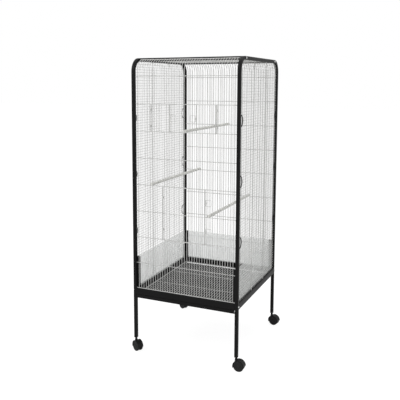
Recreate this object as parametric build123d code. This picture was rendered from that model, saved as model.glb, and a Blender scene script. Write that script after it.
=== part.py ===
from build123d import *
import math
import os

# Tall wire bird cage on four castors. The origin is on the floor under the middle of the
# cage, +Z is up and the doors and the tray face -Y. All sizes are in millimetres.

# Driving dimensions of the tube frame
frame_width = 540.0
frame_depth = 600.0
frame_top = 1430.0
tube = 16.0
tube_wall = 1.2
bend_radius = 65.0
rail_bottom = 288.0
rail_height = 30.0
bolt_flats = 10.0
bolt_head = 3.0

# Wires of the front and back walls
bar_pitch = 12.7
bar_wire = 2.2
cross_wire = 3.0
border_wire = 3.5
top_cross_wire_drop = 86.0
cross_wire_count = 8
crown_chords = 2

# Fine mesh of the side walls and the roof
mesh_pitch = 12.8
mesh_wire = 1.5
stiffener_wire = 3.0

# Doors: each opening takes out a run of bars, counted from the middle bar, and lies
# between two cross wires, counted from the top one
main_door_bars = (-8, 8)
main_door_wires = (7, 5)
left_door_bars = (-13, -6)
right_door_bars = (5, 12)
small_door_wires = (3, 2)
edge_step = 3.4
door_wire = 3.0
door_gap = 0.3
door_cross_wire = 2.4
hinge_clip_height = 10.0
hinge_clip_front = 3.0
hinge_clip_inset = 0.2
pin_clearance = 0.05
latch_wire = 2.0
latch_reach = 26.0
latch_height = 30.0
latch_clip_width = 4.2
latch_clip_height = 9.0
main_latch_inset = 0.24

# Perches, laid from front to back on the cross wires: each has its place counted in bars
# from the middle one, and the number of its cross wire
perch_radius = 7.0
perch_notch = 2.5
perch_end_gap = 0.3
perch_places = (("upper_perch", 0.0, 3), ("middle_perch", -13.5, 5), ("lower_perch", 9.5, 6))

# Seed guards and the strips that hold them in the corners
guard_height = 157.0
guard_thickness = 1.5
guard_set_back = 1.6
strip_leg = 15.0
strip_thickness = 1.2
strip_tongue = 3.3
guard_end_gap = 0.3

# Half-ring loops on the posts
loop_heights = (1147.0, 876.0, 598.0)
loop_radius = 26.0
loop_rod = 4.4
loop_face_inset = 0.6
loop_chords = 8

# Floor grille, tray and the runners that carry both
grille_border = 4.0
grille_cross_wires = 2
grille_side_gap = 0.3
grille_end_gap = 0.5
runner_sheet = 1.5
runner_rise = 12.0
runner_mouth = 3.5
runner_flange = 10.0
tray_bottom = 271.0
tray_sheet = 1.2
tray_side_gap = 2.5
tray_slide_gap = 0.3
tray_front_gap = 0.5
tray_back_gap = 2.0

# Castors
castor_height = 66.0
castor_trail = 14.0
wheel_radius = 25.0
wheel_width = 11.0
wheel_sides = 24
axle_radius = 3.0
web_thickness = 8.0
web_radius = 9.0
wheel_side_gap = 0.4
hood_gap = 0.8
hood_wall = 2.2
hood_start = -20.0
hood_sweep = 200.0
hood_chords = 12
neck_width = 11.0
stem_radius = 4.0
stem_length = 16.0
swivel_gap = 0.3
plug_flange = 2.5
plug_depth = 20.0
plug_clearance = 0.1
bore_end_gap = 1.0
bore_sides = 12
front_left_castor_turn = -30.0
front_right_castor_turn = 0.0
back_right_castor_turn = -12.0
back_left_castor_turn = 150.0

# Places worked out from the driving dimensions
half_width = frame_width / 2
half_depth = frame_depth / 2
clear_x = half_width - tube
clear_y = half_depth - tube
middle_x = half_width - tube / 2
middle_y = half_depth - tube / 2
leg_foot = castor_height
rail_top = rail_bottom + rail_height
top_rail_front = half_depth - bend_radius
top_rail_back = top_rail_front - tube
top_underside = frame_top - tube
roof_z = frame_top - tube / 2
bend_centre_z = frame_top - bend_radius
top_cross_wire_z = frame_top - top_cross_wire_drop
cross_wire_spacing = (top_cross_wire_z - rail_top) / cross_wire_count
inner_bend = bend_radius - tube

bar_intervals = round(2 * clear_x / bar_pitch)
bar_step = 2 * clear_x / bar_intervals
last_bar = bar_intervals // 2 - 1
bar_outer = middle_y + bar_wire / 2
bar_inner = middle_y - bar_wire / 2
cross_inner = bar_inner - cross_wire
bar_foot = rail_top + border_wire
crown_radius = bend_radius - tube / 2 - border_wire
crown_start = roof_z - crown_radius

side_columns = round(2 * clear_y / mesh_pitch)
side_rows = round((top_underside - rail_top) / mesh_pitch)
roof_rows = round(2 * top_rail_back / mesh_pitch)
column_outer = middle_x + mesh_wire / 2
row_outer = column_outer + mesh_wire

door_back = bar_outer + door_gap
door_axis_y = -(door_back + door_wire / 2)
door_front = door_back + door_wire

os.makedirs("parts", exist_ok=True)


def save(name, solids):
    """Writes one node, as one solid or as a group of separate solids."""
    body = Compound(children=solids) if isinstance(solids, list) else solids
    export_step(body, f"parts/{name}.step")


def block(x, y, z):
    """Box between two places along each axis, in either order."""
    centre = [(span[0] + span[1]) / 2 for span in (x, y, z)]
    size = [abs(span[1] - span[0]) for span in (x, y, z)]
    return Pos(*centre) * Box(*size)


def about(centre, width):
    """Span of a width about a centre."""
    return (centre - width / 2, centre + width / 2)


def cross_z(number):
    """Height of a cross wire, counted from the top one."""
    return top_cross_wire_z - (number - 1) * cross_wire_spacing


def bar_x(index):
    """Place of an upright bar, counted from the middle one."""
    return index * bar_step


def along_x(sketch, start, length):
    """Solid drawn in the Y-Z plane and extruded along X."""
    return extrude(Plane.YZ.offset(start) * sketch, amount=length)


# Tube frame
def arch(inset):
    """Area inside the bent side frame's outline, drawn in by an inset."""
    rounded = RectangleRounded(
        frame_depth - 2 * inset, 2 * (frame_top - inset), bend_radius - inset
    )
    kept = Pos(0, (leg_foot + frame_top) / 2) * Rectangle(frame_depth, frame_top - leg_foot)
    return rounded & kept


def side_frame(side):
    """One square tube bent twice into an upturned U, with open leg ends."""
    outside = along_x(arch(0) - arch(tube), side * middle_x - tube / 2, tube)
    hollow_width = tube - 2 * tube_wall
    hollow = along_x(
        arch(tube_wall) - arch(tube - tube_wall),
        side * middle_x - hollow_width / 2,
        hollow_width,
    )
    return outside - hollow


def rail(x, y, z):
    """Straight rectangular tube, open at its two ends, along its longer level side."""
    spans = [x, y, z]
    run = 0 if abs(x[1] - x[0]) > abs(y[1] - y[0]) else 1
    inner = [
        span if axis == run else (min(span) + tube_wall, max(span) - tube_wall)
        for axis, span in enumerate(spans)
    ]
    return block(*spans) - block(*inner)


rail_span_z = (rail_bottom, rail_top)
save("left_side_frame", side_frame(-1))
save("right_side_frame", side_frame(1))
for name, side in (("front", -1), ("back", 1)):
    rail_y = (side * clear_y, side * half_depth)
    top_y = (side * top_rail_back, side * top_rail_front)
    save(f"{name}_bottom_rail", rail((-clear_x, clear_x), rail_y, rail_span_z))
    save(f"{name}_top_rail", rail((-clear_x, clear_x), top_y, (top_underside, frame_top)))
for name, side in (("left", -1), ("right", 1)):
    rail_x = (side * clear_x, side * half_width)
    save(f"{name}_bottom_rail", rail(rail_x, (-clear_y, clear_y), rail_span_z))


def frame_bolts(side):
    """Hexagon heads on the outer face of one side frame, one at each rail's end."""
    rail_middle = rail_bottom + rail_height / 2
    top_y = top_rail_front - tube / 2
    places = [(end * y, z) for end in (-1, 1) for y, z in ((top_y, roof_z), (middle_y, rail_middle))]
    start = half_width if side > 0 else -half_width - bolt_head
    head = RegularPolygon(bolt_flats / 2, 6, major_radius=False)
    return [along_x(Pos(y, z) * head, start, bolt_head) for y, z in places]


save("left_frame_bolts", frame_bolts(-1))
save("right_frame_bolts", frame_bolts(1))


# Front and back walls
def opening(bars, wires):
    """Edges of a doorway: its two edge wires and its lower and upper cross wires."""
    left = bar_x(bars[0]) - edge_step
    right = bar_x(bars[1]) + edge_step
    return (left, right, cross_z(wires[0]), cross_z(wires[1]))


def bar_spans(x, doorways):
    """Heights between which the bar at x runs, broken where it meets a doorway."""
    spans = []
    low = bar_foot
    for left, right, foot, head in sorted(doorways, key=lambda way: way[2]):
        if left < x < right:
            spans.append((low, foot + cross_wire / 2))
            low = head - cross_wire / 2
    return spans + [(low, crown_start)]


def cross_spans(z, doorways):
    """Stretches of a cross wire at height z, broken where a doorway is cut through it."""
    spans = []
    start = -clear_x
    for left, right, foot, head in sorted(doorways):
        if foot < z < head:
            spans.append((start, left + bar_wire / 2))
            start = right - bar_wire / 2
    return spans + [(start, clear_x)]


def wire_wall(side, doorways):
    """Flat part of the front or back wall: bars, cross wires and the lower border."""
    bar_y = (side * bar_inner, side * bar_outer)
    cross_y = (side * cross_inner, side * bar_inner)
    border_y = about(side * middle_y, border_wire)
    wires = [block((-clear_x, clear_x), border_y, (rail_top, bar_foot))]
    for index in range(-last_bar, last_bar + 1):
        x = bar_x(index)
        wires += [block(about(x, bar_wire), bar_y, span) for span in bar_spans(x, doorways)]
    for number in range(1, cross_wire_count + 1):
        z = cross_z(number)
        wires += [block(span, cross_y, about(z, cross_wire)) for span in cross_spans(z, doorways)]
    for left, right, foot, head in doorways:
        edge_z = (foot - cross_wire / 2, head + cross_wire / 2)
        wires += [block(about(x, bar_wire), bar_y, edge_z) for x in (left, right)]
    return wires


def crown_profile(side):
    """One bar's bend, drawn in the Y-Z plane as chords of a quarter circle."""
    turns = [math.pi / 2 * step / crown_chords for step in range(crown_chords + 1)]
    rims = (crown_radius + bar_wire / 2, crown_radius - bar_wire / 2)
    centre_y = middle_y - crown_radius
    rows = [
        [(side * (centre_y + rim * math.cos(a)), crown_start + rim * math.sin(a)) for a in turns]
        for rim in rims
    ]
    return make_face(Polyline(*rows[0], *reversed(rows[1]), close=True))


def wall_crown(side):
    """Bent tops of the bars, which follow the side frames' bends to the top border."""
    profile = crown_profile(side)
    bends = [
        along_x(profile, bar_x(index) - bar_wire / 2, bar_wire)
        for index in range(-last_bar, last_bar + 1)
    ]
    border_y = (side * top_rail_front, side * (top_rail_front + border_wire))
    return bends + [block((-clear_x, clear_x), border_y, about(roof_z, border_wire))]


main_opening = opening(main_door_bars, main_door_wires)
left_opening = opening(left_door_bars, small_door_wires)
right_opening = opening(right_door_bars, small_door_wires)
save("front_wall", wire_wall(-1, [main_opening, left_opening, right_opening]))
save("front_wall_crown", wall_crown(-1))
save("back_wall", wire_wall(1, []))
save("back_wall_crown", wall_crown(1))


# Side walls and roof
def under_bend(distance):
    """Height of the side frame's inner edge over a place at this distance from the middle."""
    past = max(distance - top_rail_front, 0)
    return bend_centre_z + math.sqrt(inner_bend**2 - past**2)


def inside_bend(height):
    """Distance from the middle to the side frame's inner edge at this height."""
    past = max(height - bend_centre_z, 0)
    return top_rail_front + math.sqrt(inner_bend**2 - past**2)


def side_mesh(side):
    """Fine square mesh of one side wall, with two stiffening wires on its outer face."""
    columns_x = (side * (column_outer - mesh_wire), side * column_outer)
    rows_x = (side * column_outer, side * row_outer)
    stiff_x = (side * row_outer, side * (row_outer + stiffener_wire))
    wires = []
    for index in range(1, side_columns):
        y = -clear_y + 2 * clear_y * index / side_columns
        head = under_bend(abs(y) + mesh_wire / 2)
        wires.append(block(columns_x, about(y, mesh_wire), (rail_top, head)))
    for index in range(1, side_rows):
        z = rail_top + (top_underside - rail_top) * index / side_rows
        reach = inside_bend(z + mesh_wire / 2)
        wires.append(block(rows_x, (-reach, reach), about(z, mesh_wire)))
    for end in (-1, 1):
        stiffener_y = about(end * clear_y / 3, stiffener_wire)
        wires.append(block(stiff_x, stiffener_y, (rail_top, top_underside)))
    return wires


def roof_mesh():
    """Fine square mesh between the top rails and the side frames."""
    below = (roof_z - mesh_wire, roof_z)
    above = (roof_z, roof_z + mesh_wire)
    span_y = (-top_rail_back, top_rail_back)
    wires = [
        block(about(bar_x(index), mesh_wire), span_y, below)
        for index in range(-last_bar, last_bar + 1)
    ]
    for index in range(1, roof_rows):
        y = -top_rail_back + 2 * top_rail_back * index / roof_rows
        wires.append(block((-clear_x, clear_x), about(y, mesh_wire), above))
    return wires


save("left_side_mesh", side_mesh(-1))
save("right_side_mesh", side_mesh(1))
save("roof_mesh", roof_mesh())


# Doors
def hinge_x(doorway, hinge):
    """Hinge pin's place, midway between the doorway's edge wire and the next bar."""
    edge = doorway[0] if hinge < 0 else doorway[1]
    return edge + hinge * (bar_step - edge_step) / 2


def hinge_clip_spots(doorway):
    """Heights of a door's two hinge clips."""
    low, high = doorway[2], doorway[3]
    inset = hinge_clip_inset * (high - low)
    return (low + inset, high - inset)


def hinge_clips(doorway, hinge):
    """Two folded clips between edge wire and bar, with a square channel for the hinge pin."""
    width = bar_step - edge_step - bar_wire
    x = hinge_x(doorway, hinge)
    clip_y = (-(door_front + hinge_clip_front - door_wire / 2), -bar_inner)
    bore = door_wire / 2 + pin_clearance
    clips = []
    for z in hinge_clip_spots(doorway):
        clip = block(about(x, width), clip_y, about(z, hinge_clip_height))
        clips.append(clip - Pos(x, door_axis_y, z) * Box(2 * bore, 2 * bore, hinge_clip_height))
    return clips


def latch_place(doorway, hinge):
    """Pivot of a door's latches, beside the free upright of the door's frame."""
    free = doorway[1] if hinge < 0 else doorway[0]
    return (free - hinge * (door_wire + latch_clip_width) / 2, door_axis_y)


def latch_clip(doorway, hinge, z):
    """Clip on the door's free upright, with a square channel for the latch's pivot."""
    x, y = latch_place(doorway, hinge)
    clip = block(about(x, latch_clip_width), about(y, door_wire), about(z, latch_clip_height))
    bore = latch_wire / 2 + pin_clearance
    return clip - Pos(x, y, z) * Box(2 * bore, 2 * bore, latch_clip_height)


def door(doorway, hinge, latch_heights, cross_heights):
    """Wire door: frame with a round hinge pin, upright bars and cross wires in front."""
    low, high = doorway[2], doorway[3]
    pin_x = hinge_x(doorway, hinge)
    free_x = doorway[1] if hinge < 0 else doorway[0]
    free_face = free_x - hinge * door_wire / 2
    frame_y = about(door_axis_y, door_wire)
    tall = high - low + door_wire
    middle_z = (low + high) / 2
    frame = Pos(pin_x, door_axis_y, middle_z) * Cylinder(door_wire / 2, tall)
    for z in (low, high):
        frame += block((pin_x, free_face), frame_y, about(z, door_wire))
    frame += block(about(free_x, door_wire), frame_y, about(middle_z, tall))
    bars_y = (-door_front, -door_front + bar_wire)
    inside_z = (low + door_wire / 2, high - door_wire / 2)
    first = math.ceil((doorway[0] + edge_step / 2) / bar_step)
    last = math.floor((doorway[1] - edge_step / 2) / bar_step)
    wires = [
        block(about(bar_x(index), bar_wire), bars_y, inside_z)
        for index in range(first, last + 1)
    ]
    cross_y = (-door_front, -door_front - door_cross_wire)
    for z in cross_heights:
        inner = doorway[0] if hinge < 0 else doorway[1]
        wires.append(block((inner, free_face), cross_y, about(z, door_cross_wire)))
    clips = [latch_clip(doorway, hinge, z) for z in latch_heights]
    return [frame, *wires, *clips]


def latch(doorway, hinge, z):
    """Wire loop that turns on the door's free side and lies across the wall's bars."""
    x, y = latch_place(doorway, hinge)
    pivot = Pos(x, y, z) * Cylinder(latch_wire / 2, latch_height)
    far = x - hinge * latch_reach
    level = latch_height / 2 - latch_wire / 2
    loop = pivot
    for height in (z - level, z + level):
        loop += block((x, far), about(y, latch_wire), about(height, latch_wire))
    end = block(about(far, latch_wire), about(y, latch_wire), about(z, latch_height))
    return loop + end


main_inset = main_latch_inset * (main_opening[3] - main_opening[2])
main_latches = (main_opening[3] - main_inset, main_opening[2] + main_inset)
small_latch = (left_opening[2] + left_opening[3]) / 2
save("main_door", door(main_opening, -1, main_latches, [cross_z(6)]))
save("upper_left_door", door(left_opening, -1, [small_latch], []))
save("upper_right_door", door(right_opening, 1, [small_latch], []))
save("main_upper_latch", latch(main_opening, -1, main_latches[0]))
save("main_lower_latch", latch(main_opening, -1, main_latches[1]))
save("upper_left_latch", latch(left_opening, -1, small_latch))
save("upper_right_latch", latch(right_opening, 1, small_latch))
save("main_door_hinge_clips", hinge_clips(main_opening, -1))
save("upper_left_hinge_clips", hinge_clips(left_opening, -1))
save("upper_right_hinge_clips", hinge_clips(right_opening, 1))


# Perches
def perch(bars, wire_number):
    """Round perch whose notched ends sit on a front and a back cross wire."""
    x = bar_x(bars)
    end = bar_inner - perch_end_gap
    seat = cross_z(wire_number) + cross_wire / 2
    centre = Pos(x, 0, seat + perch_radius - perch_notch)
    rod = centre * Rot(90, 0, 0) * Cylinder(perch_radius, 2 * end)
    for side in (-1, 1):
        notch_y = (side * (cross_inner - perch_end_gap), side * end)
        rod -= block(about(x, 2 * perch_radius), notch_y, (seat - perch_notch, seat))
    return rod


for name, bars, wire_number in perch_places:
    save(name, perch(bars, wire_number))

# Seed guards inside the back and side walls, and their corner strips
guard_span_z = (rail_top, rail_top + guard_height)
guard_end = strip_thickness + guard_end_gap


def guard_span(side, clear):
    """Guard's span across its own thickness, set back from the posts' inner faces."""
    near = clear + guard_set_back
    return (side * near, side * (near + guard_thickness))


for name, side in (("left", -1), ("right", 1)):
    length = (-clear_y + guard_end, clear_y - guard_end)
    save(f"{name}_guard", block(guard_span(side, clear_x), length, guard_span_z))
width = (-clear_x + guard_end, clear_x - guard_end)
save("back_guard", block(width, guard_span(1, clear_y), guard_span_z))


def corner_strip(side_x, side_y):
    """Strip of cross-shaped section that hooks on a post's inner corner."""
    x_face, y_face = side_x * clear_x, side_y * clear_y
    along_wall = block(
        (x_face + side_x * strip_tongue, x_face - side_x * strip_leg),
        (y_face, y_face - side_y * strip_thickness),
        guard_span_z,
    )
    along_side = block(
        (x_face, x_face - side_x * strip_thickness),
        (y_face + side_y * strip_tongue, y_face - side_y * strip_leg),
        guard_span_z,
    )
    return along_wall + along_side


corners = (("front_left", -1, -1), ("front_right", 1, -1), ("back_left", -1, 1), ("back_right", 1, 1))
for name, side_x, side_y in corners:
    save(f"{name}_guard_strip", corner_strip(side_x, side_y))


# Loops on the posts
def post_loop(side_x, side_y, z):
    """Half ring of rod that stands out of a post over the side mesh, drawn in chords."""
    turns = [math.pi * (step / loop_chords - 0.5) for step in range(loop_chords + 1)]
    rims = (loop_radius + loop_rod / 2, loop_radius - loop_rod / 2)
    rows = [
        [(side_y * (clear_y - rim * math.cos(a)), z + rim * math.sin(a)) for a in turns]
        for rim in rims
    ]
    half = make_face(Polyline(*rows[0], *reversed(rows[1]), close=True))
    centre_x = side_x * (half_width - loop_face_inset - loop_rod / 2)
    return along_x(half, centre_x - loop_rod / 2, loop_rod)


for name, side_x, side_y in corners:
    save(f"{name}_post_loops", [post_loop(side_x, side_y, z) for z in loop_heights])

# Runners, floor grille and tray
runner_top = rail_bottom + runner_rise
lower_flange_top = rail_bottom - runner_sheet - runner_mouth
lower_flange_foot = lower_flange_top - runner_sheet
web_face = clear_x - runner_sheet


def runner(side):
    """Folded channel on a side rail: its top flange carries the grille, its lower the tray."""
    span_y = (-clear_y, clear_y)
    web = block((side * web_face, side * clear_x), span_y, (lower_flange_foot, runner_top))
    flange_x = (side * web_face, side * (web_face - runner_flange))
    for foot in (lower_flange_foot, rail_bottom - runner_sheet):
        web += block(flange_x, span_y, (foot, foot + runner_sheet))
    return web


save("left_runner", runner(-1))
save("right_runner", runner(1))


def floor_grille():
    """Border frame, two cross wires inside it and bars from front to back on top."""
    outer_x = web_face - grille_side_gap
    outer_y = clear_y - grille_end_gap
    ring = Rectangle(2 * outer_x, 2 * outer_y) - Rectangle(
        2 * (outer_x - grille_border), 2 * (outer_y - grille_border)
    )
    border_top = rail_bottom + grille_border
    wires = [extrude(Plane.XY.offset(rail_bottom) * ring, amount=grille_border)]
    inner_x = outer_x - grille_border
    for index in range(grille_cross_wires):
        y = outer_y * (2 * (index + 1) / (grille_cross_wires + 1) - 1)
        cross_span_z = (border_top - cross_wire, border_top)
        wires.append(block((-inner_x, inner_x), about(y, cross_wire), cross_span_z))
    bar_top = border_top + bar_wire
    for index in range(-last_bar, last_bar + 1):
        span_x = about(bar_x(index), bar_wire)
        wires.append(block(span_x, (-outer_y, outer_y), (border_top, bar_top)))
    return wires


save("floor_grille", floor_grille())

tray_front_back = half_depth - tube + tray_slide_gap
tray_back = clear_y - tray_back_gap
tray_half = web_face - runner_flange - tray_side_gap
tray_rim_foot = lower_flange_top + tray_slide_gap
tray_rim_top = tray_rim_foot + tray_sheet


def tray_pan():
    """Shallow pan of welded sheets, with a rim along each side that slides in the runners."""
    span_y = (-tray_front_back, tray_back)
    walls_z = (tray_bottom, tray_rim_top)
    inner_half = tray_half - tray_sheet
    inner_y = (-tray_front_back + tray_sheet, tray_back - tray_sheet)
    floor_z = (tray_bottom, tray_bottom + tray_sheet)
    sheets = [block((-inner_half, inner_half), inner_y, floor_z)]
    for end_y, inward in ((-tray_front_back, tray_sheet), (tray_back, -tray_sheet)):
        sheets.append(block((-inner_half, inner_half), (end_y, end_y + inward), walls_z))
    rim_edge = web_face - tray_slide_gap
    rim_y = (-clear_y + tray_front_gap, tray_back)
    for side in (-1, 1):
        sheets.append(block((side * inner_half, side * tray_half), span_y, walls_z))
        sheets.append(block((side * tray_half, side * rim_edge), rim_y, (tray_rim_foot, tray_rim_top)))
    return sheets


def tray_front():
    """Front of the tray: a channel folded from sheet, flush under the front rail."""
    span_x = (-clear_x + tray_front_gap, clear_x - tray_front_gap)
    top = rail_bottom - tray_front_gap
    front = block(span_x, (-half_depth, -half_depth + tray_sheet), (tray_bottom, top))
    flange_y = (-half_depth, -tray_front_back)
    for foot in (tray_bottom, top - tray_sheet):
        front += block(span_x, flange_y, (foot, foot + tray_sheet))
    return front


save("tray_pan", tray_pan())
save("tray_front", tray_front())

# Castors, drawn with the swivel axis on Z, the floor at Z 0 and the trail along +X
wheel_inner = web_thickness / 2 + wheel_side_gap
wheel_outer = wheel_inner + wheel_width
hood_inner = wheel_radius + hood_gap
hood_outer = hood_inner + hood_wall
flange_bottom = castor_height - plug_flange
neck_top = flange_bottom - swivel_gap


def across(sketch, low, high):
    """Solid drawn in the X-Z plane about the wheels' axle and extruded along Y."""
    plane = Plane((castor_trail, low, wheel_radius), x_dir=(1, 0, 0), z_dir=(0, 1, 0))
    return extrude(plane * sketch, amount=high - low)


def wheel_set():
    """Twin wheels fixed on one axle, each a drum of many flats."""
    wheels = across(Circle(axle_radius), -wheel_inner, wheel_inner)
    drum = Rot(0, 0, 180 / wheel_sides) * RegularPolygon(wheel_radius, wheel_sides, major_radius=False)
    for low, high in ((-wheel_outer, -wheel_inner), (wheel_inner, wheel_outer)):
        wheels += across(drum, low, high)
    return wheels


def hood_slice(outer, inner):
    """Part of the hood's ring, from the stem's side over the top to behind the axle."""
    turns = [
        math.radians(hood_start + step * hood_sweep / hood_chords)
        for step in range(hood_chords + 1)
    ]
    rows = [[(-rim * math.cos(a), -rim * math.sin(a)) for a in turns] for rim in (outer, inner)]
    return make_face(Polyline(*rows[0], *reversed(rows[1]), close=True))


def castor_housing():
    """Hood over both wheels with a web between them, a neck and the swivel stem."""
    housing = block(about(0, neck_width), about(0, neck_width), (wheel_radius, neck_top))
    wheel_room = RegularPolygon(hood_inner, wheel_sides, major_radius=False)
    housing -= across(wheel_room, -wheel_outer, wheel_outer)
    housing += across(hood_slice(hood_outer, hood_inner), -wheel_outer, wheel_outer)
    housing += across(hood_slice(hood_inner, web_radius), -web_thickness / 2, web_thickness / 2)
    hub = Rectangle(2 * web_radius, 2 * web_radius)
    housing += across(hub, -web_thickness / 2, web_thickness / 2)
    housing -= across(Circle(axle_radius + pin_clearance), -wheel_outer, wheel_outer)
    stem_middle = neck_top + stem_length / 2
    return housing + Pos(0, 0, stem_middle) * Cylinder(stem_radius, stem_length)


def castor_plug():
    """Plug in the leg's open end, with a flange under the leg and a socket for the stem."""
    inside = tube - 2 * tube_wall - 2 * plug_clearance
    plug = Pos(0, 0, flange_bottom + plug_flange / 2) * Box(tube, tube, plug_flange)
    plug += Pos(0, 0, castor_height + plug_depth / 2) * Box(inside, inside, plug_depth)
    bore_depth = stem_length - swivel_gap + bore_end_gap
    bore = RegularPolygon(stem_radius + pin_clearance, bore_sides, major_radius=False)
    return plug - extrude(Plane.XY.offset(flange_bottom) * bore, amount=bore_depth)


castors = (
    ("front_left", -1, -1, front_left_castor_turn),
    ("front_right", 1, -1, front_right_castor_turn),
    ("back_left", -1, 1, back_left_castor_turn),
    ("back_right", 1, 1, back_right_castor_turn),
)
for name, side_x, side_y, turn in castors:
    under_leg = Pos(side_x * middle_x, side_y * middle_y, 0)
    save(f"{name}_castor_plug", under_leg * castor_plug())
    save(f"{name}_castor_housing", under_leg * Rot(0, 0, turn) * castor_housing())
    save(f"{name}_castor_wheels", under_leg * Rot(0, 0, turn) * wheel_set())
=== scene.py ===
import math

import bpy
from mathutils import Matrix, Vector


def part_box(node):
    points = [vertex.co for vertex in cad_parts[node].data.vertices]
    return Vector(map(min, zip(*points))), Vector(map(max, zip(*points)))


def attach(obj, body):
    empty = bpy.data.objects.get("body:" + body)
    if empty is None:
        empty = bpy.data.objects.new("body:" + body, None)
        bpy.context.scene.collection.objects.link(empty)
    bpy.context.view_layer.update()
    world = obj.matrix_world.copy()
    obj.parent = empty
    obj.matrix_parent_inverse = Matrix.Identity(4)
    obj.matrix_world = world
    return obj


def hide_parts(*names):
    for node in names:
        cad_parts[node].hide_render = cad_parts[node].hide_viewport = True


# Tall wire bird cage on castors, dressed over its construction model. Metres, +Z up, the
# doors face -Y. Every piece keeps the place and size of the nodes that it stands for.
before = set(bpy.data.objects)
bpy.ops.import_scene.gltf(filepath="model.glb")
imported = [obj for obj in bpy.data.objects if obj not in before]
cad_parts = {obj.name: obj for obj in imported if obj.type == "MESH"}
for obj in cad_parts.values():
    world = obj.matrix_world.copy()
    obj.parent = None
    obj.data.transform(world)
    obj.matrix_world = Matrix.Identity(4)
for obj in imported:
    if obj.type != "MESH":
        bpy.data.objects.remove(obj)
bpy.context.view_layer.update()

# Places read from the frame
side_lo, side_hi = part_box("right_side_frame")
rail_lo, rail_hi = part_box("front_bottom_rail")
top_rail_lo, top_rail_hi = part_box("front_top_rail")
main_lo, main_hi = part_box("main_door")

tube = side_hi.x - side_lo.x
half_width = side_hi.x
half_depth = side_hi.y
leg_foot = side_lo.z
frame_top = side_hi.z
bend_radius = half_depth + top_rail_lo.y
clear_x = half_width - tube
clear_y = half_depth - tube
middle_x = half_width - tube / 2
middle_y = half_depth - tube / 2
rail_bottom = rail_lo.z
rail_top = rail_hi.z
roof_z = frame_top - tube / 2
top_underside = frame_top - tube

# Sizes of the wires and what hangs on them
bar_wire = 0.0022
cross_wire = 0.003
border_wire = 0.0035
mesh_wire = 0.0015
mesh_pitch = 0.0128
bar_intervals = 40
last_bar = 19
cross_wires = 8
edge_step = 0.0034
door_wire = 0.003
door_gap = 0.0003
latch_wire = 0.002
latch_reach = 0.026
latch_height = 0.03
clip_wide = 0.0042
tube_edge = 0.002
loop_rod = 0.0044
loop_radius = 0.026
middle_loop_z = 0.876
runner_sheet = 0.0015
runner_flange = 0.010
tray_play = 0.0025

bar_step = 2 * clear_x / bar_intervals
bar_foot = rail_top + border_wire
cross_y = middle_y - bar_wire / 2 - cross_wire / 2
crown_radius = bend_radius - tube / 2 - border_wire
door_y = -(middle_y + bar_wire / 2 + door_gap + door_wire / 2)
cross_spacing = (main_hi.z - main_lo.z - door_wire) / 2
left, right = -1, 1


def cross_z(number):
    """Height of a cross wire, counted from the top one."""
    return main_hi.z - door_wire / 2 + (5 - number) * cross_spacing


def bar_x(index):
    """Place of an upright bar, counted from the middle one."""
    return index * bar_step


# Mesh work
def start(name):
    """New empty piece at the origin, open in edit mode with nothing else selected."""
    bpy.ops.object.select_all(action="DESELECT")
    mesh = bpy.data.meshes.new(name)
    piece = bpy.data.objects.new(name, mesh)
    bpy.context.scene.collection.objects.link(piece)
    bpy.context.view_layer.objects.active = piece
    piece.select_set(True)
    bpy.ops.object.mode_set(mode="EDIT")
    return piece


def finish_piece(piece, body, slot, material, *nodes, smooth=35):
    """Closes the edit, smooths the round faces and hands the piece to its body; the slot argument
    is not used.
    """
    bpy.ops.object.mode_set(mode="OBJECT")
    bpy.ops.object.shade_smooth_by_angle(angle=math.radians(smooth))
    piece.data.materials.clear()
    piece.data.materials.append(material)
    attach(piece, body)
    if nodes:
        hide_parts(*nodes)
    return piece


def rod(a, b, thickness, sides=8):
    """Straight round wire between two points."""
    a, b = Vector(a), Vector(b)
    run = b - a
    bpy.ops.mesh.primitive_cylinder_add(
        vertices=sides, radius=thickness / 2, depth=run.length, location=(a + b) / 2,
        rotation=run.to_track_quat("Z", "Y").to_euler(),
    )


def bent_rod(points, thickness, bend, sides=8, steps=4):
    """Round wire along straight runs, bent at each inner point to the same radius."""
    points = [Vector(p) for p in points]
    runs = [(b - a).normalized() for a, b in zip(points, points[1:])]
    bpy.ops.mesh.primitive_circle_add(
        vertices=sides, radius=thickness / 2, fill_type="NGON", location=points[0],
        rotation=runs[0].to_track_quat("Z", "Y").to_euler(),
    )
    here = points[0]
    for corner, run, after in zip(points[1:-1], runs, runs[1:]):
        turn = run.angle(after)
        back = bend * math.tan(turn / 2)
        begin = corner - run * back
        bpy.ops.mesh.extrude_region_move(TRANSFORM_OT_translate={"value": begin - here})
        inward = (after - run * after.dot(run)).normalized()
        bpy.ops.mesh.spin(
            steps=steps, angle=turn, center=begin + inward * bend, axis=after.cross(run)
        )
        here = corner + after * back
    bpy.ops.mesh.extrude_region_move(TRANSFORM_OT_translate={"value": points[-1] - here})


def pick(piece, kind, test):
    """Selects only the faces or the edges of the open mesh that pass the test."""
    bpy.ops.mesh.select_mode(type=kind)
    bpy.ops.mesh.select_all(action="DESELECT")
    bpy.ops.object.mode_set(mode="OBJECT")
    for part in piece.data.polygons if kind == "FACE" else piece.data.edges:
        part.select = bool(test(part))
    bpy.ops.object.mode_set(mode="EDIT")


def face_outwards():
    """Turns every face of the open mesh outwards."""
    bpy.ops.mesh.select_all(action="SELECT")
    bpy.ops.mesh.normals_make_consistent(inside=False)


def slab(lo, hi, edge):
    """Box between two corners, with its edges rounded."""
    lo, hi = Vector(lo), Vector(hi)
    bpy.ops.mesh.primitive_cube_add(size=1, location=(lo + hi) / 2, scale=hi - lo)
    bpy.ops.mesh.bevel(offset=edge, segments=2, affect="EDGES", profile=0.5)


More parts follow.
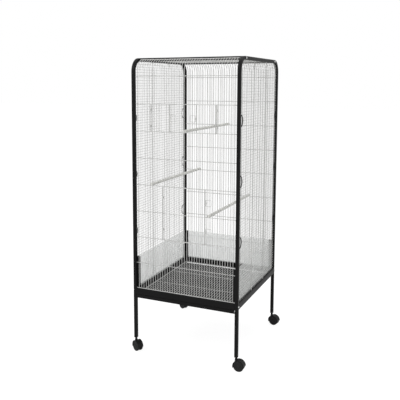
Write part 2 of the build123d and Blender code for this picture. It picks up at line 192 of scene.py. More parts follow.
def lathe(rows, centre, axis="Z", sides=32):
    """Round piece from rows of (radius, height), spun about an axis through the centre."""
    centre = Vector(centre)
    turns = {"X": (0, math.pi / 2, 0), "Y": (-math.pi / 2, 0, 0), "Z": (0, 0, 0)}
    along = {"X": Vector((1, 0, 0)), "Y": Vector((0, 1, 0)), "Z": Vector((0, 0, 1))}[axis]
    first, height = rows[0]
    bpy.ops.mesh.primitive_circle_add(
        vertices=sides, radius=first, fill_type="NGON", location=centre + along * height,
        rotation=turns[axis],
    )
    for (before, low), (after, high) in zip(rows, rows[1:]):
        rise = along * (high - low)
        bpy.ops.mesh.extrude_region_move(TRANSFORM_OT_translate={"value": rise})
        ratio = after / before
        middle = centre + along * high
        bpy.ops.transform.resize(value=(ratio, ratio, ratio), center_override=middle)


# Shared surface effects
def effect(name, inputs, outputs):
    """Empty node group with number inputs and named outputs."""
    group = bpy.data.node_groups.new(name, "ShaderNodeTree")
    for label, value in inputs:
        socket = group.interface.new_socket(label, in_out="INPUT", socket_type="NodeSocketFloat")
        socket.default_value = value
    for label, kind in outputs:
        group.interface.new_socket(label, in_out="OUTPUT", socket_type=kind)
    return group, group.nodes.new("NodeGroupInput"), group.nodes.new("NodeGroupOutput")


def place_noise(tree, scale, detail=3.0):
    """Noise over the object's own coordinates, in metres."""
    where = tree.nodes.new("ShaderNodeTexCoord")
    noise = tree.nodes.new("ShaderNodeTexNoise")
    noise.inputs["Scale"].default_value = scale
    noise.inputs["Detail"].default_value = detail
    tree.links.new(where.outputs["Object"], noise.inputs["Vector"])
    return noise


def make_grain():
    """Fine bumps of a sprayed or moulded surface, as a normal, and a slow patchiness mask."""
    group, given, out = effect(
        "surface_grain",
        [("Grain Scale", 900.0), ("Patch Scale", 14.0), ("Strength", 0.2)],
        [("Normal", "NodeSocketVector"), ("Patch", "NodeSocketFloat")],
    )
    fine = place_noise(group, 900.0)
    patch = place_noise(group, 14.0)
    bump = group.nodes.new("ShaderNodeBump")
    bump.inputs["Distance"].default_value = 0.0002
    group.links.new(given.outputs["Grain Scale"], fine.inputs["Scale"])
    group.links.new(given.outputs["Patch Scale"], patch.inputs["Scale"])
    group.links.new(given.outputs["Strength"], bump.inputs["Strength"])
    group.links.new(fine.outputs["Fac"], bump.inputs["Height"])
    group.links.new(bump.outputs["Normal"], out.inputs["Normal"])
    group.links.new(patch.outputs["Fac"], out.inputs["Patch"])
    return group


def make_scuffs():
    """Mask of sparse small rub marks."""
    group, given, out = effect(
        "scuff_marks",
        [("Scale", 60.0), ("Amount", 0.1)],
        [("Mask", "NodeSocketFloat")],
    )
    marks = place_noise(group, 60.0, detail=6.0)
    ramp = group.nodes.new("ShaderNodeMapRange")
    ramp.inputs["From Min"].default_value = 0.62
    ramp.inputs["From Max"].default_value = 0.78
    scaled = group.nodes.new("ShaderNodeMath")
    scaled.operation = "MULTIPLY"
    group.links.new(given.outputs["Scale"], marks.inputs["Scale"])
    group.links.new(marks.outputs["Fac"], ramp.inputs["Value"])
    group.links.new(ramp.outputs["Result"], scaled.inputs[0])
    group.links.new(given.outputs["Amount"], scaled.inputs[1])
    group.links.new(scaled.outputs["Value"], out.inputs["Mask"])
    return group


grain_group = make_grain()
scuff_group = make_scuffs()


def finish_of(name, dark, light, scuffed, rough, metal=0.0, grain=(900.0, 14.0, 0.2),
              scuffs=(60.0, 0.1), coat=0.0, alpha=1.0, specular=0.5):
    """Material whose colour drifts between two tones, with rub marks and a fine grain."""
    material = bpy.data.materials.new(name)
    material.use_nodes = True
    tree = material.node_tree
    shader = tree.nodes["Principled BSDF"]
    shader.inputs["Metallic"].default_value = metal
    shader.inputs["Coat Weight"].default_value = coat
    shader.inputs["Specular IOR Level"].default_value = specular
    surface = tree.nodes.new("ShaderNodeGroup")
    surface.node_tree = grain_group
    for label, value in zip(("Grain Scale", "Patch Scale", "Strength"), grain):
        surface.inputs[label].default_value = value
    marks = tree.nodes.new("ShaderNodeGroup")
    marks.node_tree = scuff_group
    marks.inputs["Scale"].default_value = scuffs[0]
    marks.inputs["Amount"].default_value = scuffs[1]
    tones = tree.nodes.new("ShaderNodeMix")
    tones.data_type = "RGBA"
    tones.inputs["A"].default_value = (*dark, 1)
    tones.inputs["B"].default_value = (*light, 1)
    rubbed = tree.nodes.new("ShaderNodeMix")
    rubbed.data_type = "RGBA"
    rubbed.inputs["B"].default_value = (*scuffed, 1)
    gloss = tree.nodes.new("ShaderNodeMapRange")
    gloss.inputs["To Min"].default_value = rough[0]
    gloss.inputs["To Max"].default_value = rough[1]
    tree.links.new(surface.outputs["Patch"], tones.inputs["Factor"])
    tree.links.new(tones.outputs["Result"], rubbed.inputs["A"])
    tree.links.new(marks.outputs["Mask"], rubbed.inputs["Factor"])
    tree.links.new(rubbed.outputs["Result"], shader.inputs["Base Color"])
    tree.links.new(surface.outputs["Patch"], gloss.inputs["Value"])
    tree.links.new(gloss.outputs["Result"], shader.inputs["Roughness"])
    tree.links.new(surface.outputs["Normal"], shader.inputs["Normal"])
    if alpha < 1:
        cloud = tree.nodes.new("ShaderNodeMapRange")
        cloud.inputs["To Min"].default_value = alpha - 0.06
        cloud.inputs["To Max"].default_value = alpha + 0.06
        tree.links.new(surface.outputs["Patch"], cloud.inputs["Value"])
        tree.links.new(cloud.outputs["Result"], shader.inputs["Alpha"])
    return material


powder_black = finish_of(
    "black_powder_coat", (0.004, 0.004, 0.004), (0.006, 0.006, 0.006), (0.015, 0.015, 0.015),
    (0.4, 0.52), grain=(1100.0, 9.0, 0.25), specular=0.08,
)
tray_black = finish_of(
    "tray_powder_coat", (0.006, 0.006, 0.006), (0.012, 0.012, 0.011), (0.04, 0.04, 0.038),
    (0.42, 0.56), grain=(900.0, 12.0, 0.25), scuffs=(45.0, 0.4), specular=0.08,
)
pale_wire = finish_of(
    "pale_plated_wire", (0.41, 0.41, 0.40), (0.51, 0.51, 0.50), (0.29, 0.29, 0.285),
    (0.36, 0.5), grain=(1500.0, 22.0, 0.12), scuffs=(120.0, 0.25), specular=0.3,
)
zinc_bolt = finish_of(
    "zinc_bolt", (0.42, 0.42, 0.41), (0.58, 0.58, 0.57), (0.3, 0.3, 0.3),
    (0.25, 0.38), metal=0.9, grain=(2000.0, 90.0, 0.1),
)
perch_grey = finish_of(
    "perch_plastic", (0.50, 0.50, 0.475), (0.58, 0.58, 0.55), (0.36, 0.35, 0.33),
    (0.45, 0.58), grain=(700.0, 18.0, 0.3), scuffs=(90.0, 0.3), specular=0.3,
)
cloudy_guard = finish_of(
    "cloudy_guard_sheet", (0.80, 0.82, 0.81), (0.88, 0.90, 0.89), (0.92, 0.92, 0.92),
    (0.2, 0.34), grain=(400.0, 6.0, 0.06), scuffs=(150.0, 0.3), alpha=0.36,
)
strip_black = finish_of(
    "strip_plastic", (0.006, 0.006, 0.006), (0.011, 0.011, 0.011), (0.03, 0.03, 0.03),
    (0.4, 0.54), grain=(800.0, 16.0, 0.2), specular=0.1,
)
nylon_black = finish_of(
    "castor_nylon", (0.006, 0.006, 0.006), (0.010, 0.010, 0.010), (0.03, 0.03, 0.03),
    (0.4, 0.54), grain=(1300.0, 30.0, 0.3), specular=0.1,
)
tread_black = finish_of(
    "wheel_tread", (0.008, 0.008, 0.008), (0.016, 0.016, 0.016), (0.06, 0.058, 0.055),
    (0.55, 0.75), grain=(1000.0, 40.0, 0.4), scuffs=(80.0, 0.5), specular=0.12,
)


# Tube frame
def side_frame(name, side):
    """Square tube with rounded corners, bent twice into an upturned U."""
    piece = start(name + "_tube")
    bpy.ops.mesh.primitive_plane_add(size=tube, location=(side * middle_x, -middle_y, leg_foot))
    bpy.ops.mesh.bevel(offset=tube_edge, segments=3, affect="VERTICES")
    bpy.ops.mesh.select_all(action="SELECT")
    rise = frame_top - bend_radius - leg_foot
    bpy.ops.mesh.extrude_region_move(TRANSFORM_OT_translate={"value": (0, 0, rise)})
    top_run = 2 * (half_depth - bend_radius)
    bend_z = frame_top - bend_radius
    for centre_y, run in ((-top_run / 2, (0, top_run, 0)), (top_run / 2, (0, 0, -rise))):
        bpy.ops.mesh.spin(
            steps=12, angle=math.pi / 2, center=(side * middle_x, centre_y, bend_z), axis=(1, 0, 0)
        )
        bpy.ops.mesh.extrude_region_move(TRANSFORM_OT_translate={"value": run})
    return finish_piece(piece, "cage", "black_frame", powder_black, name)


def rail(node):
    """Straight tube between two others, with its long edges rounded."""
    lo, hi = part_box(node)
    piece = start(node + "_tube")
    size = hi - lo
    run = max(range(3), key=lambda axis: size[axis])
    bpy.ops.mesh.primitive_cube_add(size=1, location=(lo + hi) / 2, scale=size)

    def is_long(line):
        a, b = (piece.data.vertices[i].co for i in line.vertices)
        return abs((b - a)[run]) > size[run] / 2

    pick(piece, "EDGE", is_long)
    bpy.ops.mesh.bevel(offset=tube_edge, segments=3, affect="EDGES")
    return finish_piece(piece, "cage", "black_frame", powder_black, node)


def frame_bolts(name, side):
    """Flanged hexagon heads on the outer face of one side frame."""
    piece = start(name + "_heads")
    head = 0.003
    flats = 0.010
    rows = [(flats / 2, 0.0), (flats / 2, 0.0007), (flats * 0.44, 0.0009)]
    rail_middle = (rail_bottom + rail_top) / 2
    top_y = half_depth - bend_radius - tube / 2
    for end in (-1, 1):
        for y, z in ((end * top_y, roof_z), (end * middle_y, rail_middle)):
            spot = Vector((side * half_width, y, z))
            turned = [(radius, side * height) for radius, height in rows]
            lathe(turned, spot, "X", sides=24)
            hexagon = [(flats * 0.5, 0.0009), (flats * 0.5, head - 0.0006), (flats * 0.42, head)]
            lathe([(radius, side * height) for radius, height in hexagon], spot, "X", sides=6)
    face_outwards()
    return finish_piece(piece, "cage", "bolt_steel", zinc_bolt, name)


side_frame("left_side_frame", left)
side_frame("right_side_frame", right)
for node in ("front_bottom_rail", "back_bottom_rail", "left_bottom_rail", "right_bottom_rail",
             "front_top_rail", "back_top_rail"):
    rail(node)
frame_bolts("left_frame_bolts", left)
frame_bolts("right_frame_bolts", right)


# Front and back walls
def doorway(bars, wires):
    """Edges of a doorway: its two edge wires and its lower and upper cross wires."""
    return (
        bar_x(bars[0]) - edge_step, bar_x(bars[1]) + edge_step,
        cross_z(wires[0]), cross_z(wires[1]),
    )


main_way = doorway((-8, 8), (7, 5))
left_way = doorway((-13, -6), (3, 2))
right_way = doorway((5, 12), (3, 2))


def wall(name, side, ways, *nodes):
    """Upright bars bent over at the top, welded to cross wires behind them and to borders."""
    piece = start(name)
    bar_y = side * middle_y
    behind_y = side * cross_y
    top_y = side * (half_depth - bend_radius + border_wire / 2)
    for index in range(-last_bar, last_bar + 1):
        x = bar_x(index)
        low = bar_foot
        for low_x, high_x, foot, head in sorted(ways, key=lambda way: way[2]):
            if low_x < x < high_x:
                rod((x, bar_y, low), (x, bar_y, foot + cross_wire / 2), bar_wire)
                low = head - cross_wire / 2
        path = [(x, bar_y, low), (x, bar_y, roof_z), (x, top_y, roof_z)]
        bent_rod(path, bar_wire, crown_radius, steps=8)
    for number in range(1, cross_wires + 1):
        z = cross_z(number)
        begin = -clear_x
        for low_x, high_x, foot, head in sorted(ways):
            if foot + cross_wire < z < head - cross_wire:
                rod((begin, behind_y, z), (low_x + bar_wire / 2, behind_y, z), cross_wire, 10)
                begin = high_x - bar_wire / 2
        rod((begin, behind_y, z), (clear_x, behind_y, z), cross_wire, 10)
    for low_x, high_x, foot, head in ways:
        for x in (low_x, high_x):
            rod((x, bar_y, foot - cross_wire / 2), (x, bar_y, head + cross_wire / 2), bar_wire)
    border_z = rail_top + border_wire / 2
    rod((-clear_x, bar_y, border_z), (clear_x, bar_y, border_z), border_wire, 12)
    rod((-clear_x, top_y, roof_z), (clear_x, top_y, roof_z), border_wire, 12)
    return finish_piece(piece, "cage", "silver_wire", pale_wire, *nodes, smooth=50)


wall("front_wall_wires", -1, [main_way, left_way, right_way], "front_wall", "front_wall_crown")
wall("back_wall_wires", 1, [], "back_wall", "back_wall_crown")


# Side walls and roof
def inner_edge(distance):
    """Height of the side frame's inner edge at this distance from the middle."""
    past = max(distance - (half_depth - bend_radius), 0)
    return frame_top - bend_radius + math.sqrt((bend_radius - tube) ** 2 - past**2)


def side_mesh(name, side):
    """Fine welded mesh with two stiffening wires on its outer face."""
    piece = start(name + "_wires")
    column_x = side * middle_x
    row_x = side * (middle_x + mesh_wire)
    stiff = 0.003
    stiff_x = side * (middle_x + 1.5 * mesh_wire + stiff / 2)
    columns = round(2 * clear_y / mesh_pitch)
    rows = round((top_underside - rail_top) / mesh_pitch)
    for index in range(1, columns):
        y = -clear_y + 2 * clear_y * index / columns
        top = inner_edge(abs(y) + mesh_wire / 2)
        rod((column_x, y, rail_top), (column_x, y, top), mesh_wire, 6)
    for index in range(1, rows):
        z = rail_top + (top_underside - rail_top) * index / rows
        past = max(z + mesh_wire / 2 - (frame_top - bend_radius), 0)
        reach = half_depth - bend_radius + math.sqrt((bend_radius - tube) ** 2 - past**2)
        rod((row_x, -reach, z), (row_x, reach, z), mesh_wire, 6)
    for end in (-1, 1):
        y = end * clear_y / 3
        rod((stiff_x, y, rail_top), (stiff_x, y, top_underside), stiff, 10)
    return finish_piece(piece, "cage", "silver_wire", pale_wire, name, smooth=65)


def roof_mesh():
    """Fine welded mesh between the top rails."""
    piece = start("roof_mesh_wires")
    reach = -top_rail_hi.y
    rows = round(2 * reach / mesh_pitch)
    for index in range(-last_bar, last_bar + 1):
        x = bar_x(index)
        z = roof_z - mesh_wire / 2
        rod((x, -reach, z), (x, reach, z), mesh_wire, 6)
    for index in range(1, rows):
        y = -reach + 2 * reach * index / rows
        z = roof_z + mesh_wire / 2
        rod((-clear_x, y, z), (clear_x, y, z), mesh_wire, 6)
    return finish_piece(piece, "cage", "silver_wire", pale_wire, "roof_mesh", smooth=65)


side_mesh("left_side_mesh", left)
side_mesh("right_side_mesh", right)
roof_mesh()


# Doors, their hinge clips and their latches
def door_edges(way, hinge):
    """Places of the hinge pin, the free upright and the latch pivot."""
    pin = (way[0] if hinge < 0 else way[1]) + hinge * (bar_step - edge_step) / 2
    free = way[1] if hinge < 0 else way[0]
    return pin, free, free - hinge * (door_wire + clip_wide) / 2


def door(name, way, hinge, latch_spots, middle_wires):
    """Bent wire frame with upright bars, cross wires on its face and clips for its latches."""
    pin, free, pivot = door_edges(way, hinge)
    low, high = way[2], way[3]
    middle = (low + high) / 2
    piece = start(name + "_wires")
    bend = 0.005
    loop = [(pin, door_y, middle), (pin, door_y, high), (free, door_y, high), (free, door_y, low),
            (pin, door_y, low), (pin, door_y, middle)]
    bent_rod(loop, door_wire, bend, 10)
    bars_y = door_y - door_wire / 2 + bar_wire / 2
    first = math.ceil((way[0] + edge_step / 2) / bar_step)
    last = math.floor((way[1] - edge_step / 2) / bar_step)
    for index in range(first, last + 1):
        rod((bar_x(index), bars_y, low), (bar_x(index), bars_y, high), bar_wire)
    face_wire = 0.0024
    for z in middle_wires:
        near = way[0] if hinge < 0 else way[1]
        face_y = door_y - door_wire / 2 - face_wire / 2
        rod((near, face_y, z), (free, face_y, z), face_wire)
    for z in latch_spots:
        tall = 0.009
        lo = (pivot - clip_wide / 2, door_y - door_wire / 2, z - tall / 2)
        hi = (pivot + clip_wide / 2, door_y + door_wire / 2, z + tall / 2)
        slab(lo, hi, 0.0006)
    return finish_piece(piece, name, "silver_wire", pale_wire, name, smooth=50)


def latch(name, way, hinge, z):
    """Bent wire loop that turns in the door's clip and lies across the wall's bars."""
    pin, free, pivot = door_edges(way, hinge)
    far = pivot - hinge * latch_reach
    reach_z = latch_height / 2 - latch_wire / 2
    piece = start(name + "_loop")
    loop = [(pivot, door_y, z), (pivot, door_y, z + reach_z), (far, door_y, z + reach_z),
            (far, door_y, z - reach_z), (pivot, door_y, z - reach_z), (pivot, door_y, z)]
    bent_rod(loop, latch_wire, 0.003, 10, 5)
    return finish_piece(piece, name, "silver_wire", pale_wire, name, smooth=50)


def hinge_clips(name, way, hinge):
    """Folded strips that wrap round the hinge pin and grip the wires behind it."""
    pin = door_edges(way, hinge)[0]
    lo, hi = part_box(name)
    tall = 0.010
    wide = hi.x - lo.x
    piece = start(name + "_strips")
    for z in (lo.z + tall / 2, hi.z - tall / 2):
        bpy.ops.mesh.primitive_cube_add(
            size=1, location=(pin, (lo.y + hi.y) / 2, z), scale=(wide, hi.y - lo.y, tall)
        )
        bpy.ops.mesh.bevel(offset=0.0009, segments=3, affect="EDGES")
    for z in (lo.z + tall / 2, hi.z - tall / 2):
        lathe([(0.0011, -0.0004), (0.0011, 0.0), (0.0007, 0.0004)],
              (pin, lo.y + 0.0004, z), "Y", sides=12)
    face_outwards()
    return finish_piece(piece, "cage", "silver_wire", pale_wire, name)


main_drop = 0.24 * (main_way[3] - main_way[2])
main_latches = (main_way[3] - main_drop, main_way[2] + main_drop)
small_latch = (left_way[2] + left_way[3]) / 2
door("main_door", main_way, -1, main_latches, [cross_z(6)])
door("upper_left_door", left_way, -1, [small_latch], [])
door("upper_right_door", right_way, 1, [small_latch], [])
latch("main_upper_latch", main_way, -1, main_latches[0])
latch("main_lower_latch", main_way, -1, main_latches[1])
latch("upper_left_latch", left_way, -1, small_latch)
latch("upper_right_latch", right_way, 1, small_latch)
hinge_clips("main_door_hinge_clips", main_way, -1)
hinge_clips("upper_left_hinge_clips", left_way, -1)
hinge_clips("upper_right_hinge_clips", right_way, 1)


# Perches
def perch(name):
    """Moulded rod with shallow rings for grip and a plain collar at each end."""
    lo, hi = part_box(name)
    radius = (hi.z - lo.z) / 2
    centre = Vector(((lo.x + hi.x) / 2, 0, (lo.z + hi.z) / 2))
    end = hi.y
    collar = 0.022
    ring = 0.014
    groove = 0.0006
    ramp = 0.0012
    rows = [(radius * 0.7, -end), (radius, -end + 0.0015), (radius, -end + collar)]
    count = int((end - collar) * 2 / ring)
    step = (end - collar) * 2 / count
    for index in range(count):
        y = -end + collar + index * step
        rows += [
            (radius - groove, y + ramp), (radius - groove, y + 2 * ramp),
            (radius, y + 3 * ramp), (radius, y + step - 0.0001),
        ]
    rows += [(radius, end - 0.0015), (radius * 0.7, end)]
    piece = start(name + "_rod")
    lathe(rows, centre, "Y", sides=20)
    face_outwards()
    return finish_piece(piece, "cage", "perch_plastic", perch_grey, name)


for name in ("upper_perch", "middle_perch", "lower_perch"):
    perch(name)


# Seed guards and corner strips
def guard(name):
    """Cloudy clear sheet with eased edges."""
    lo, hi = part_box(name)
    piece = start(name + "_sheet")
    slab(lo, hi, 0.0005)
    return finish_piece(piece, "cage", "clear_guard", cloudy_guard, name)


for name in ("left_guard", "right_guard", "back_guard"):
    guard(name)

corners = (
    ("front_left", -1, -1), ("front_right", 1, -1), ("back_left", -1, 1), ("back_right", 1, 1),
)


def corner_strip(name, side_x, side_y):
    """Extruded angle strip that holds two guard edges in the corner."""
    lo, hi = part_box(name)
    thick = 0.0012
    x_face = side_x * clear_x
    y_face = side_y * clear_y
    piece = start(name + "_extrusion")
    for first, second in (
        ((lo.x, y_face, lo.z), (hi.x, y_face - side_y * thick, hi.z)),
        ((x_face, lo.y, lo.z), (x_face - side_x * thick, hi.y, hi.z)),
    ):
        low = [min(pair) for pair in zip(first, second)]
        high = [max(pair) for pair in zip(first, second)]
        slab(low, high, 0.0003)
    return finish_piece(piece, "cage", "strip_plastic", strip_black, name)


# Loops on the posts
def post_loops(name, side_y):
    """Half rings of coated rod, welded to the post at both ends."""
    lo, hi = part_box(name)
    centre_x = (lo.x + hi.x) / 2
    piece = start(name + "_rods")
    outer = loop_radius + loop_rod / 2
    spots = (lo.z + outer, middle_loop_z, hi.z - outer)
    for z in spots:
        begin = (centre_x, side_y * clear_y, z - loop_radius)
        bpy.ops.mesh.primitive_circle_add(
            vertices=12, radius=loop_rod / 2, fill_type="NGON", location=begin,
            rotation=(math.pi / 2, 0, 0),
        )
        bpy.ops.mesh.spin(
            steps=16, angle=math.pi, center=(centre_x, side_y * clear_y, z), axis=(side_y, 0, 0)
        )
    face_outwards()
    return finish_piece(piece, "cage", "loop_rod", powder_black, name)


for name, side_x, side_y in corners:
    corner_strip(name + "_guard_strip", side_x, side_y)
    post_loops(name + "_post_loops", side_y)


# Runners, floor grille and tray
def runner(name, side):
    """Folded channel with eased edges."""
    lo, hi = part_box(name)
    sheet = runner_sheet
    mouth = 0.0035
    piece = start(name + "_channel")
    web = sorted((side * (clear_x - sheet), side * clear_x))
    slab((web[0], lo.y, lo.z), (web[1], hi.y, hi.z), 0.0004)
    flange = sorted((side * (clear_x - sheet), lo.x if side > 0 else hi.x))
    for foot in (lo.z, lo.z + sheet + mouth):
        slab((flange[0], lo.y, foot), (flange[1], hi.y, foot + sheet), 0.0004)
    return finish_piece(piece, "cage", "black_frame", powder_black, name)


def floor_grille():
    """Welded floor grille: bent border rod, two cross wires and bars from front to back."""
    lo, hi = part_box("floor_grille")
    border = 0.004
    piece = start("floor_grille_wires")
    inset = border / 2
    x, y = hi.x - inset, hi.y - inset
    z = lo.z + border / 2
    loop = [(0, -y, z), (x, -y, z), (x, y, z), (-x, y, z), (-x, -y, z), (0, -y, z)]
    bent_rod(loop, border, 0.008, 10)
    for index in range(2):
        cross = hi.y * (2 * (index + 1) / 3 - 1)
        level = lo.z + border - cross_wire / 2
        rod((-x, cross, level), (x, cross, level), cross_wire)
    for index in range(-last_bar, last_bar + 1):
        level = hi.z - bar_wire / 2
        rod((bar_x(index), lo.y, level), (bar_x(index), hi.y, level), bar_wire)
    return finish_piece(piece, "cage", "silver_wire", pale_wire, "floor_grille", smooth=50)


def tray():
    """Folded sheet tray: pan with rims, and a channel front with a lip."""
    lo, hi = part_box("tray_pan")
    sheet = 0.0012
    inside = clear_x - runner_sheet - runner_flange - tray_play
    piece = start("tray_pan_sheet")
    bpy.ops.mesh.primitive_cube_add(
        size=1, location=(0, (lo.y + hi.y) / 2, (lo.z + hi.z) / 2),
        scale=(2 * inside, hi.y - lo.y, hi.z - lo.z),
    )
    pick(piece, "FACE", lambda face: face.normal.z > 0.5)
    bpy.ops.mesh.inset(thickness=sheet, depth=0)
    down = sheet - (hi.z - lo.z)
    bpy.ops.mesh.extrude_region_move(TRANSFORM_OT_translate={"value": (0, 0, down)})
    for side in (-1, 1):
        rim = sorted((side * inside, side * hi.x))
        slab((rim[0], lo.y + 0.001, hi.z - sheet), (rim[1], hi.y, hi.z), 0.0003)
    finish_piece(piece, "tray", "black_frame", tray_black, "tray_pan")
    lo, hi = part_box("tray_front")
    piece = start("tray_front_sheet")
    slab((lo.x, lo.y, lo.z), (hi.x, lo.y + sheet, hi.z), 0.0005)
    slab((lo.x, lo.y + 0.0006, lo.z), (hi.x, hi.y, lo.z + sheet), 0.0004)
    slab((lo.x, lo.y + 0.0006, hi.z - sheet), (hi.x, hi.y, hi.z), 0.0004)
    finish_piece(piece, "tray", "black_frame", powder_black, "tray_front")


runner("left_runner", left)
runner("right_runner", right)
floor_grille()
tray()


# Castors
wheel_radius = 0.025
wheel_width = 0.011
web_thickness = 0.008
web_start = 0.008
hub_radius = 0.009
wheel_gap = 0.0004
hood_inner = 0.0258
hood_outer = 0.028
trail = 0.014
castor_height = leg_foot
plug_flange = 0.0025
turns = {"front_left": -30.0, "front_right": 0.0, "back_right": -12.0, "back_left": 150.0}


def turn_piece(piece, turn, place):
    """Turns a finished castor piece about its swivel axis and moves it under its leg."""
    bpy.ops.object.mode_set(mode="OBJECT")
    piece.rotation_euler = (0, 0, math.radians(turn))
    piece.location = place
    bpy.ops.object.transform_apply(location=True, rotation=True, scale=False)


def castor_wheels(name, turn, place):
    """Twin wheels with rounded treads, a groove, a dished face and a hub cap."""
    piece = start(name + "_tyres")
    inner = web_thickness / 2 + wheel_gap
    r = wheel_radius
    w = wheel_width
    profile = [
        (0.005, 0.0006), (0.0075, 0.0006), (0.009, 0.0), (r - 0.0025, 0.0), (r - 0.0008, 0.0006),
        (r, 0.002), (r, w / 2 - 0.0009), (r - 0.0007, w / 2), (r, w / 2 + 0.0009), (r, w - 0.003),
        (r - 0.001, w - 0.001), (r - 0.003, w), (r - 0.007, w - 0.0002), (r - 0.009, w - 0.0016),
        (0.009, w - 0.0016), (0.0078, w - 0.0004), (0.005, w),
    ]
    for side in (-1, 1):
        rows = [(radius, side * (inner + y)) for radius, y in profile]
        lathe(rows, (trail, 0, r), "Y", sides=48)
    lathe([(0.003, -inner - 0.001), (0.003, inner + 0.001)], (trail, 0, r), "Y", sides=20)
    face_outwards()
    turn_piece(piece, turn, place)
    bpy.ops.object.mode_set(mode="EDIT")
    body = name.replace("castor_wheels", "wheels")
    return finish_piece(piece, body, "castor_wheel", tread_black, name)


def castor_housing(name, turn, place):
    """Moulded hood over both wheels, with the web between them, the neck and the stem."""
    piece = start(name + "_hood")
    inner = web_thickness / 2 + wheel_gap
    half = inner + wheel_width
    begin, sweep = math.radians(-20.0), math.radians(200.0)
    axle = Vector((trail, 0, wheel_radius))
    for low, high, near, far in (
        (-half, half, hood_inner, hood_outer),
        (-web_thickness / 2, web_thickness / 2, web_start, hood_inner + 0.001),
    ):
        middle = (near + far) / 2
        where = axle - Vector((middle, 0, 0))
        bpy.ops.mesh.primitive_plane_add(size=1, location=where)
        bpy.ops.transform.resize(value=(far - near, high - low, 1), center_override=where)
        bpy.ops.transform.rotate(value=-begin, orient_axis="Y", center_override=axle)
        bpy.ops.mesh.spin(steps=28, angle=sweep, center=axle, axis=(0, -1, 0))
    lathe([(hub_radius, -web_thickness / 2), (hub_radius, web_thickness / 2)], axle, "Y", sides=32)
    flange_z = castor_height - plug_flange - 0.0003
    neck = [
        (0.0075, wheel_radius + 0.021), (0.0062, wheel_radius + 0.0285), (0.0055, flange_z - 0.004),
        (0.0055, flange_z - 0.0015), (0.0052, flange_z - 0.001), (0.0055, flange_z - 0.0004),
        (0.0050, flange_z), (0.004, flange_z), (0.004, flange_z + 0.0155),
        (0.0035, flange_z + 0.016),
    ]
    lathe(neck, (0, 0, 0), "Z", sides=24)
    face_outwards()
    turn_piece(piece, turn, place)
    bpy.ops.object.mode_set(mode="EDIT")
    return finish_piece(piece, name.replace("_housing", ""), "castor_plastic", nylon_black, name)


def castor_plug(name, place):
    """Plug with a rounded flange under the leg."""
    piece = start(name + "_cap")
    half = tube / 2
    inside = half - 0.0013
    x, y = place[0], place[1]
    flange = castor_height - plug_flange
    slab((x - half, y - half, flange), (x + half, y + half, castor_height), 0.0007)
    low, high = castor_height - 0.0005, castor_height + 0.02
    slab((x - inside, y - inside, low), (x + inside, y + inside, high), 0.0006)
    return finish_piece(piece, "cage", "castor_plastic", nylon_black, name)


for corner, side_x, side_y in corners:
    under = (side_x * middle_x, side_y * middle_y, 0)
    castor_plug(corner + "_castor_plug", under)
    castor_housing(corner + "_castor_housing", turns[corner], under)
    castor_wheels(corner + "_castor_wheels", turns[corner], under)


# Floor, lamps, background and camera
def floor():
    """Pale floor that reads white to the camera and still keeps the shadow."""
    shadow_tone = 0.2
    plain_white = 0.89
    bpy.ops.object.select_all(action="DESELECT")
    bpy.ops.mesh.primitive_plane_add(size=60, location=(0, 0, 0))
    ground = bpy.context.object
    ground.name = "floor"
    material = bpy.data.materials.new("pale_floor")
    material.use_nodes = True
    tree = material.node_tree
    shader = tree.nodes["Principled BSDF"]
    shader.inputs["Roughness"].default_value = 0.9
    shader.inputs["Specular IOR Level"].default_value = 0.0
    seen = direct_sight(tree)
    tone = tree.nodes.new("ShaderNodeMix")
    tone.data_type = "RGBA"
    tone.inputs["A"].default_value = (0.8, 0.8, 0.8, 1)
    tone.inputs["B"].default_value = (shadow_tone, shadow_tone, shadow_tone, 1)
    tree.links.new(seen, tone.inputs["Factor"])
    tree.links.new(tone.outputs["Result"], shader.inputs["Base Color"])
    glow = tree.nodes.new("ShaderNodeMapRange")
    glow.inputs["To Min"].default_value = 0.0
    glow.inputs["To Max"].default_value = plain_white
    tree.links.new(seen, glow.inputs["Value"])
    shader.inputs["Emission Color"].default_value = (1, 1, 1, 1)
    tree.links.new(glow.outputs["Result"], shader.inputs["Emission Strength"])
    ground.data.materials.append(material)


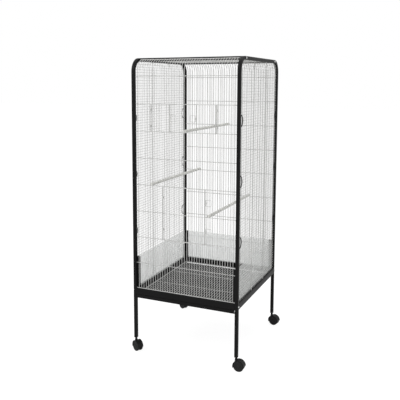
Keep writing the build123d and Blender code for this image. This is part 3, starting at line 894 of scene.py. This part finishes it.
def direct_sight(tree):
    """One where the camera sees it straight, in a mirror or through clear sheet, else zero."""
    path = tree.nodes.new("ShaderNodeLightPath")
    either = path.outputs["Is Camera Ray"]
    for label in ("Is Glossy Ray", "Is Transmission Ray"):
        most = tree.nodes.new("ShaderNodeMath")
        most.operation = "MAXIMUM"
        tree.links.new(either, most.inputs[0])
        tree.links.new(path.outputs[label], most.inputs[1])
        either = most.outputs["Value"]
    return either


def world_light(level):
    """Even pale surroundings, pure white where they are seen."""
    world = bpy.data.worlds.new("studio")
    world.use_nodes = True
    bpy.context.scene.world = world
    tree = world.node_tree
    shine = tree.nodes["Background"]
    shine.inputs["Color"].default_value = (1, 1, 1, 1)
    strength = tree.nodes.new("ShaderNodeMapRange")
    strength.inputs["To Min"].default_value = level
    strength.inputs["To Max"].default_value = 1.0
    tree.links.new(direct_sight(tree), strength.inputs["Value"])
    tree.links.new(strength.outputs["Result"], shine.inputs["Strength"])


def lamp(name, place, aim, size, watts):
    """Square soft box that points at a place."""
    light = bpy.data.lights.new(name, "AREA")
    light.size = size
    light.energy = watts
    holder = bpy.data.objects.new(name, light)
    holder.location = place
    holder.rotation_euler = (Vector(aim) - Vector(place)).to_track_quat("-Z", "Y").to_euler()
    bpy.context.scene.collection.objects.link(holder)


def camera():
    """Camera at the photograph's viewing angle."""
    focal_px = 585.2
    image_px = 400
    sight = bpy.data.cameras.new("view")
    sight.sensor_width = 36.0
    sight.lens = focal_px * sight.sensor_width / image_px
    sight.shift_x = (image_px / 2 - 183.6) / image_px
    sight.shift_y = (160.0 - image_px / 2) / image_px
    holder = bpy.data.objects.new("view", sight)
    holder.location = (1.1036, -2.7142, 1.3017)
    holder.rotation_euler = (math.radians(90 - 7.27), 0, math.radians(24.57))
    bpy.context.scene.collection.objects.link(holder)
    bpy.context.scene.camera = holder


floor()
world_light(0.62)
lamp("key", (-2.6, -3.4, 3.6), (0, 0, 0.8), 2.2, 130)
lamp("fill", (3.4, -2.2, 2.4), (0, 0, 0.8), 2.4, 60)
lamp("top", (0.3, 0.4, 4.2), (0, 0, 0.6), 2.4, 60)
camera()
bpy.context.scene.view_settings.view_transform = "Standard"
